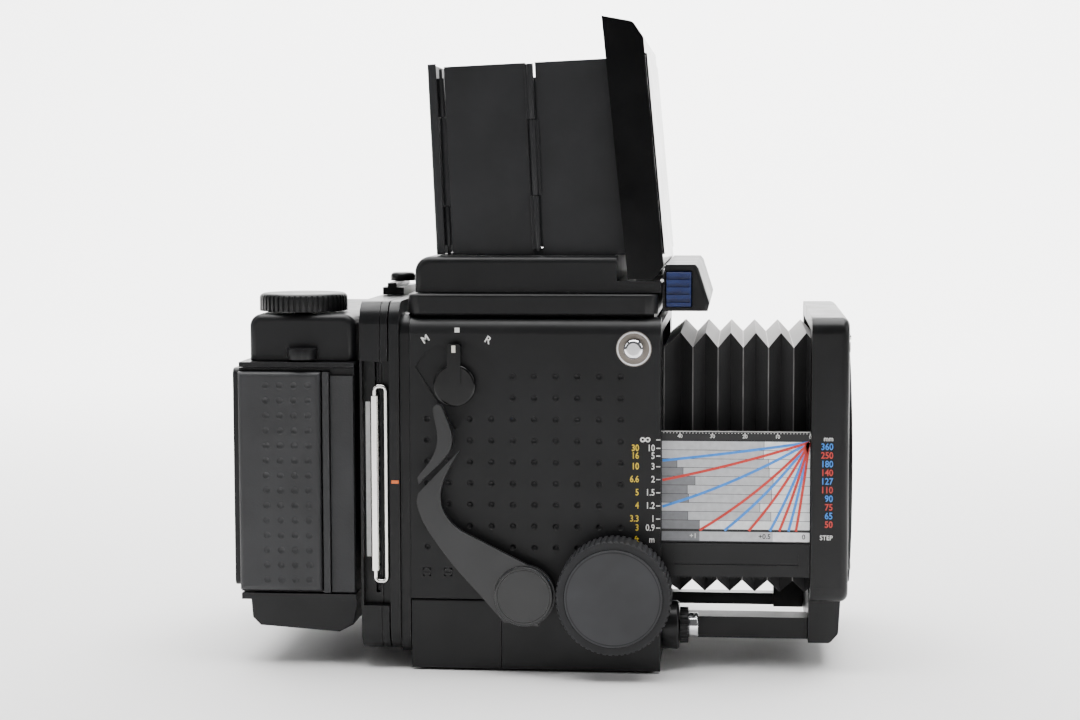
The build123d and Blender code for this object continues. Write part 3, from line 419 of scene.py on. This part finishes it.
def cut_copy(node, cutter, body, material, edge):
    tool_mesh = bpy.data.meshes.new("cutter")
    cutter.to_mesh(tool_mesh)
    cutter.free()
    tool = bpy.data.objects.new("cutter", tool_mesh)
    bpy.context.scene.collection.objects.link(tool)
    obj = bpy.data.objects.new(node + "_dimpled", NODES[node].data.copy())
    bpy.context.scene.collection.objects.link(obj)
    obj.data.materials.clear()
    obj.data.materials.append(material)
    weld = obj.modifiers.new("weld", "WELD")
    weld.merge_threshold = 0.002 * MM
    cut = obj.modifiers.new("cut", "BOOLEAN")
    cut.operation = "DIFFERENCE"
    cut.solver = "EXACT"
    cut.object = tool
    bpy.context.view_layer.update()
    baked = bpy.data.meshes.new_from_object(obj.evaluated_get(bpy.context.evaluated_depsgraph_get()))
    obj.modifiers.clear()
    obj.data = baked
    bpy.data.objects.remove(tool)
    soften(obj, edge)
    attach(obj, body)
    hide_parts(node)


# ---------------------------------------------------------------- dimpled covers
COLUMN = 6.70
ROW = 6.68
FIRST_COLUMN, FIRST_ROW = -33.6, 92.4


def cover_dimples():
    """Ten columns and nine rows, kept clear of the selector."""
    spots = []
    for i in range(10):
        for j in range(9):
            x = FIRST_COLUMN + COLUMN * i
            z = FIRST_ROW - ROW * j
            if i < 4 and j < 2:
                continue
            spots.append((x, z))
    return spots


dimpled("right_side_cover", cover_dimples(), -COVER_FACE, 1.0, 0.6, "camera_body",
        COVER, 0.25)


def grip_dimples():
    return [(-84.8 + 4.5 * i, 89.1 - 4.73 * j) for i in range(4) for j in range(14)]


def both_grips():
    """Both grained grips share one cutter, a set of hollows for each side."""
    cutter = bmesh.new()
    radius, depth = 1.15, 0.45
    ball = (radius ** 2 + depth ** 2) / (2 * depth)
    for side in (RIGHT, LEFT):
        for x, z in grip_dimples():
            spot = Vector((x, side * (51.4 + ball - depth), z)) * MM
            turn = Matrix.Rotation(math.pi / 2, 4, "X")
            bmesh.ops.create_uvsphere(cutter, u_segments=18, v_segments=12, radius=ball * MM,
                                      matrix=Matrix.Translation(spot) @ turn)
    cut_copy("grip_covers", cutter, "back", GRIP, 0.25)


both_grips()

# ---------------------------------------------------------------- marks on the right side cover
tiles("reset_dot", [rectangle((-24.75, -23.25), (106.05, 107.5))], COVER_FACE, RIGHT, WHITE, "camera_body")
lettering("selector_letters", [("M", -33.9, 103.9, 2.2, "CENTER", -33, 1.0),
                               ("R", -14.4, 103.7, 2.2, "CENTER", 30, 1.0)],
          COVER_FACE, RIGHT, WHITE, "camera_body")
tiles("selector_bar", [rectangle((-25.35, -24.15), (100.0, 102.2))], 55.2, RIGHT, CREAM, "selector")

METRES = ["∞", "10", "5", "3", "2", "1.5", "1.2", "1", "0.9", "m"]
FEET = ["30", "16", "10", "6.6", "5", "4", "3.3", "3", "ft"]
SCALE_Z = [73.1, 70.5, 68.1, 64.8, 60.8, 56.7, 52.6, 48.5, 45.7, 42.0]


def distance_scale(side):
    """Focusing distances in feet and metres, next to the slot that the plate runs out of."""
    tag = "right" if side == RIGHT else "left"
    metres = [(text, 37.3, z, 2.0, "RIGHT" if side == RIGHT else "LEFT", 0, 0.82)
              for text, z in zip(METRES, SCALE_Z)]
    metres[0] = ("∞", 34.3, SCALE_Z[0], 2.6, "CENTER", 0, 1.0)
    feet = [(text, 32.4, z, 2.0, "RIGHT" if side == RIGHT else "LEFT", 0, 0.82)
            for text, z in zip(FEET, SCALE_Z[1:])]
    lettering("distance_metres_" + tag, metres, COVER_FACE, side, WHITE, "camera_body")
    lettering("distance_feet_" + tag, feet, COVER_FACE, side, YELLOW, "camera_body")
    ticks = [rectangle((37.7, 39.0), (z - 0.14, z + 0.14)) for z in SCALE_Z[:-1]]
    tiles("distance_ticks_" + tag, ticks, COVER_FACE, side, WHITE, "camera_body")


# ---------------------------------------------------------------- sliding exposure and distance chart
CHART_X = (39.3, 84.9)
CHART_TOP, CHART_FOOT = 72.4, 45.0
RULE_Z = 75.4
ROWS = 10
CORNER = (84.6, 72.3)                   # where every curve starts

# How far each grey band reaches along its row: the dark band, then the light band
DARK_ENDS = [38, 38, 44.0, 45.9, 49.6, 47.2, 47.6, 38, 47.4, 51.0]
LIGHT_ENDS = [70.8, 70.6, 72.2, 72.4, 73.6, 73.2, 73.2, 69.6, 73.0, 38]

# Each lens's curve: colour, where it leaves the chart, and how much it sags below a straight line
CURVES = [(CYAN, (39.5, 66.3), 0.6), (RED, (39.5, 60.2), 1.5), (CYAN, (39.5, 51.9), 3.3),
          (RED, (51.0, 44.6), 3.4), (CYAN, (58.7, 44.6), 2.7), (RED, (66.2, 44.6), 2.2),
          (CYAN, (72.7, 44.6), 1.4), (RED, (75.6, 44.6), 1.0), (CYAN, (78.4, 44.6), 0.7),
          (RED, (80.7, 44.6), 0.4)]


def curve_path(leaves, sag):
    """A shallow arc from the chart's corner to where the curve leaves the chart."""
    start, end = Vector(CORNER), Vector(leaves)
    along = (end - start).normalized()
    across = Vector((-along.y, along.x))
    if across.y > 0:
        across = -across
    steps = 14
    path = []
    for i in range(steps + 1):
        t = i / steps
        p = start.lerp(end, t) + across * sag * 4 * t * (1 - t) * 0.45
        path.append((p.x, p.y))
    return path


def chart(side):
    tag = "right" if side == RIGHT else "left"
    low, high = CHART_X
    step = (CHART_TOP - CHART_FOOT) / ROWS
    dark, light, pale, lines = [], [], [], []
    for i in range(ROWS):
        z = (CHART_TOP - step * (i + 1), CHART_TOP - step * i)
        first = max(DARK_ENDS[i], low)
        second = max(LIGHT_ENDS[i], first)
        if first > low:
            dark.append(rectangle((low, first), z))
        if second > first:
            light.append(rectangle((first, second), z))
        pale.append(rectangle((second, high), z))
        if i:
            lines.append(rectangle((low, high), (z[1] - 0.07, z[1] + 0.07)))
        for end in (first, second):
            if low < end < high:
                lines.append(rectangle((end - 0.07, end + 0.07), z))
    strip = (41.3, 44.2)
    dark.append(rectangle((low, 51.0), strip))
    light.append(rectangle((51.0, 73.6), strip))
    pale.append(rectangle((73.6, high), strip))
    for name, shapes, material, lift in (
            ("dark", dark, MIDDLE, 0.04), ("light", light, LIGHT, 0.04), ("pale", pale, PALE, 0.04),
            ("lines", lines, DARK, 0.06)):
        tiles(f"chart_{name}_{tag}", shapes, PLATE_FACE, side, material, "standard", lift=lift)
    for colour, label in ((CYAN, "blue"), (RED, "red")):
        bands = [ribbon(curve_path(leaves, sag), 0.8) for c, leaves, sag in CURVES if c is colour]
        lift = 0.10 if colour is CYAN else 0.13
        tiles(f"chart_{label}_{tag}", bands, PLATE_FACE, side, colour, "standard", lift=lift)
    steps = [("+1", 50.2, 42.8, 1.5, "RIGHT" if side == RIGHT else "LEFT", 0, 1.0)]
    lettering("chart_step_light_" + tag, steps, PLATE_FACE + 0.03, side, WHITE, "standard")
    steps = [("+0.5", 73.0, 42.8, 1.5, "RIGHT" if side == RIGHT else "LEFT", 0, 1.0),
             ("0", 83.6, 42.8, 1.5, "RIGHT" if side == RIGHT else "LEFT", 0, 1.0)]
    lettering("chart_step_dark_" + tag, steps, PLATE_FACE + 0.03, side, DARK, "standard")


def extension_rule(side):
    """A millimetre rule along the top of the plate, with zero at the front."""
    tag = "right" if side == RIGHT else "left"
    ticks = []
    for i in range(47):
        x = CHART_X[1] - i
        tall = 1.0 if i % 10 == 0 else 0.55
        ticks.append(rectangle((x - 0.14, x + 0.14), (RULE_Z - tall, RULE_Z - 0.35)))
    ticks.append(rectangle((38.4, 84.9), (RULE_Z - 0.05, RULE_Z + 0.12)))
    tiles("rule_ticks_" + tag, ticks, PLATE_FACE, side, WHITE, "standard")
    figures = [(str(10 * i), CHART_X[1] - 10 * i, 73.9, 1.1, "CENTER", 0, 1.0) for i in range(5)]
    lettering("rule_figures_" + tag, figures, PLATE_FACE, side, WHITE, "standard")


LENS_TOP, LENS_STEP = 71.1, 2.68
LENSES = ["360", "250", "180", "140", "127", "110", "90", "75", "65", "50"]


def lens_list(side):
    """Focal lengths on the standard's column, in the colours of their curves."""
    tag = "right" if side == RIGHT else "left"
    anchor = "RIGHT" if side == RIGHT else "LEFT"
    for colour, label, start in ((CYAN, "blue", 0), (RED, "red", 1)):
        marks = [(LENSES[i], 91.9, LENS_TOP - LENS_STEP * i, 2.0, anchor, 0, 0.88)
                 for i in range(start, 10, 2)]
        lettering(f"lens_{label}_{tag}", marks, BOARD_FACE, side, colour, "standard")
    words = [("mm", 91.9, 73.6, 1.5, anchor, 0, 0.9), ("STEP", 91.9, 42.9, 1.45, anchor, 0, 0.92)]
    lettering("lens_units_" + tag, words, BOARD_FACE, side, WHITE, "standard")


for each in (RIGHT, LEFT):
    distance_scale(each)
    chart(each)
    extension_rule(each)
    lens_list(each)

# ---------------------------------------------------------------- shutter speed dial, left side
DIAL = (-6.0, 88.0)
SPEEDS = ["B", "8", "4", "2", "1", "2", "4", "8", "15", "30", "60", "125", "250", "400"]


def dial_marks():
    marks = []
    for i, text in enumerate(SPEEDS):
        turn = 360 / len(SPEEDS) * i
        a = math.radians(turn)
        marks.append((text, DIAL[0] - 9.6 * math.sin(a), DIAL[1] + 9.6 * math.cos(a), 1.5, "CENTER",
                      -turn, 0.8))
    lettering("dial_speeds", marks, 57.4, LEFT, WHITE, "speed_dial")
    tiles("dial_index", [rectangle((-6.5, -5.5), (102.4, 104.4))], COVER_FACE, LEFT, WHITE, "camera_body")


dial_marks()
tiles("finder_dot", [disc(39.2, 122.0, 0.55)], 47.0, RIGHT, WHITE, "camera_body", -0.1)


# ---------------------------------------------------------------- bellows
FOLD = 7.86
FOLD_START, FOLD_END = 39.5, 91.1
HALF_Y, TOP_Z, FOOT_Z = 38.4, 105.15, 22.85
FOLD_DEPTH = 4.4
FIRST_RIDGE = 44.6


def bellows():
    """Folded tube: where the top and bottom stand out, the sides are drawn in, and the other way round."""
    sections = []
    x = FIRST_RIDGE
    ridge = True
    while x < FOLD_END - 1:
        sections.append((x, ridge))
        x += FOLD / 2
        ridge = not ridge
    sections = [(FOLD_START, False)] + sections + [(FOLD_END, False)]
    points, faces, worn = [], [], []
    for x, ridge in sections:
        side = HALF_Y - (FOLD_DEPTH if ridge else 0)
        rise = 0 if ridge else FOLD_DEPTH
        for y, z in ((-side, FOOT_Z + rise), (0, FOOT_Z + rise), (side, FOOT_Z + rise),
                     (side, 64.0), (side, TOP_Z - rise), (0, TOP_Z - rise), (-side, TOP_Z - rise),
                     (-side, 64.0)):
            points.append((x, y, z))
            worn.append(0.0 if ridge else 1.0)
    for i in range(len(sections) - 1):
        for j in range(8):
            k = (j + 1) % 8
            faces.append([8 * i + j, 8 * i + k, 8 * (i + 1) + k, 8 * (i + 1) + j])
    obj = shell("bellows_folds", points, faces, CLOTH, "camera_body")
    tidy_normals(obj.data)
    fold = obj.data.attributes.new("fold", "FLOAT", "POINT")
    fold.data.foreach_set("value", worn)
    solidify_cloth(obj)
    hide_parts("bellows")
    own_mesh(obj)


def solidify_cloth(obj):
    """Give the cloth its thickness and a small radius on every fold."""
    thick = obj.modifiers.new("cloth", "SOLIDIFY")
    thick.thickness = 0.5 * MM
    thick.offset = -1.0
    round_off = obj.modifiers.new("fold_radius", "BEVEL")
    round_off.width = 0.28 * MM
    round_off.segments = 2
    round_off.limit_method = "ANGLE"
    round_off.angle_limit = math.radians(25)
    bpy.context.view_layer.update()
    mesh = bpy.data.meshes.new_from_object(obj.evaluated_get(bpy.context.evaluated_depsgraph_get()))
    obj.modifiers.clear()
    obj.data = mesh


bellows()


# ---------------------------------------------------------------- small turned details
def ring(name, x, z, y, r, width, height, side, material, body):
    """A raised ring on a side face, a square thread of the given width."""
    points, faces = [], []
    n = 96
    section = ((r - width / 2, 0), (r - width / 2, height), (r + width / 2, height), (r + width / 2, 0))
    for i in range(n):
        a = 2 * math.pi * i / n
        for rr, h in section:
            points.append((x + rr * math.cos(a), side * (y + h), z + rr * math.sin(a)))
    for i in range(n):
        for j in range(4):
            a, b = 4 * i, 4 * ((i + 1) % n)
            faces.append([a + j, a + (j + 1) % 4, b + (j + 1) % 4, b + j])
    obj = shell(name, points, faces, material, body)
    tidy_normals(obj.data)
    return obj


for each, tag in ((RIGHT, "right"), (LEFT, "left")):
    ring("knob_line_" + tag, 25.2, 25.9, 66.18, 14.3, 0.35, 0.05, each, RUBBER, "focus_drive")
ring("hub_line", -2.8, 25.0, 59.58, 8.2, 0.3, 0.05, RIGHT, GLOSS, "lever")
ring("lug_washer", 30.8, 101.3, 52.95, 5.0, 0.45, 0.3, RIGHT, CHROME, "camera_body")


# ---------------------------------------------------------------- floor, light and camera
def sweep():
    """Pale floor that curves up into the backdrop."""
    points, faces = [], []
    profile = [(-6.0, 0.0), (0.9, 0.0)]
    radius = 0.9
    for i in range(1, 13):
        a = math.pi / 2 * i / 12
        profile.append((0.9 + radius * math.sin(a), radius - radius * math.cos(a)))
    profile.append((1.8, 3.2))
    for y, z in profile:
        points += [(-5.0, y, z - 0.0002), (5.0, y, z - 0.0002)]
    for i in range(len(profile) - 1):
        faces.append([2 * i, 2 * i + 1, 2 * i + 3, 2 * i + 2])
    mesh = bpy.data.meshes.new("studio_sweep")
    mesh.from_pydata(points, [], faces)
    mesh.shade_smooth()
    paper = grain(finish("studio_paper", (0.86, 0.855, 0.85), 0.9, specular=0.1), 0.3, 0.01)
    mesh.materials.append(paper)
    obj = bpy.data.objects.new("studio_sweep", mesh)
    bpy.context.scene.collection.objects.link(obj)


def softbox(name, place, target, size, power, colour=(1, 1, 1)):
    light = bpy.data.lights.new(name, "AREA")
    light.shape = "RECTANGLE"
    light.size, light.size_y = size
    light.energy = power
    light.color = colour
    obj = bpy.data.objects.new(name, light)
    obj.location = place
    obj.rotation_euler = (Vector(target) - Vector(place)).to_track_quat("-Z", "Y").to_euler()
    bpy.context.scene.collection.objects.link(obj)


def studio():
    world = bpy.data.worlds.new("studio")
    world.use_nodes = True
    world.node_tree.nodes["Background"].inputs["Color"].default_value = (1.0, 1.0, 1.0, 1.0)
    world.node_tree.nodes["Background"].inputs["Strength"].default_value = 0.13
    bpy.context.scene.world = world
    sweep()
    softbox("top_box", (0.0, 0.15, 1.5), (0, 0.05, 0), (1.8, 1.6), 78)
    softbox("back_box", (0.0, 1.0, 1.3), (0.0, 1.9, 0.5), (2.6, 1.0), 120)
    softbox("left_box", (-1.5, -0.6, 0.9), (0, 0, 0.1), (0.9, 0.9), 5)
    softbox("right_box", (1.5, -0.2, 0.8), (0, 0, 0.1), (0.9, 0.9), 7)


def camera():
    data = bpy.data.cameras.new("camera")
    data.sensor_width = 36.0
    data.lens = 70.54
    data.clip_start = 0.01
    obj = bpy.data.objects.new("camera", data)
    right = Vector((0.99553689, 0.09433755, -0.00259293))
    up = Vector((-0.00515483, 0.08179166, 0.99663612))
    back = right.cross(up)
    turn = Matrix((right, up, back)).transposed().to_4x4()
    obj.matrix_world = Matrix.Translation((0.063341, -0.700207, 0.151141)) @ turn
    bpy.context.scene.collection.objects.link(obj)
    bpy.context.scene.camera = obj


studio()
camera()
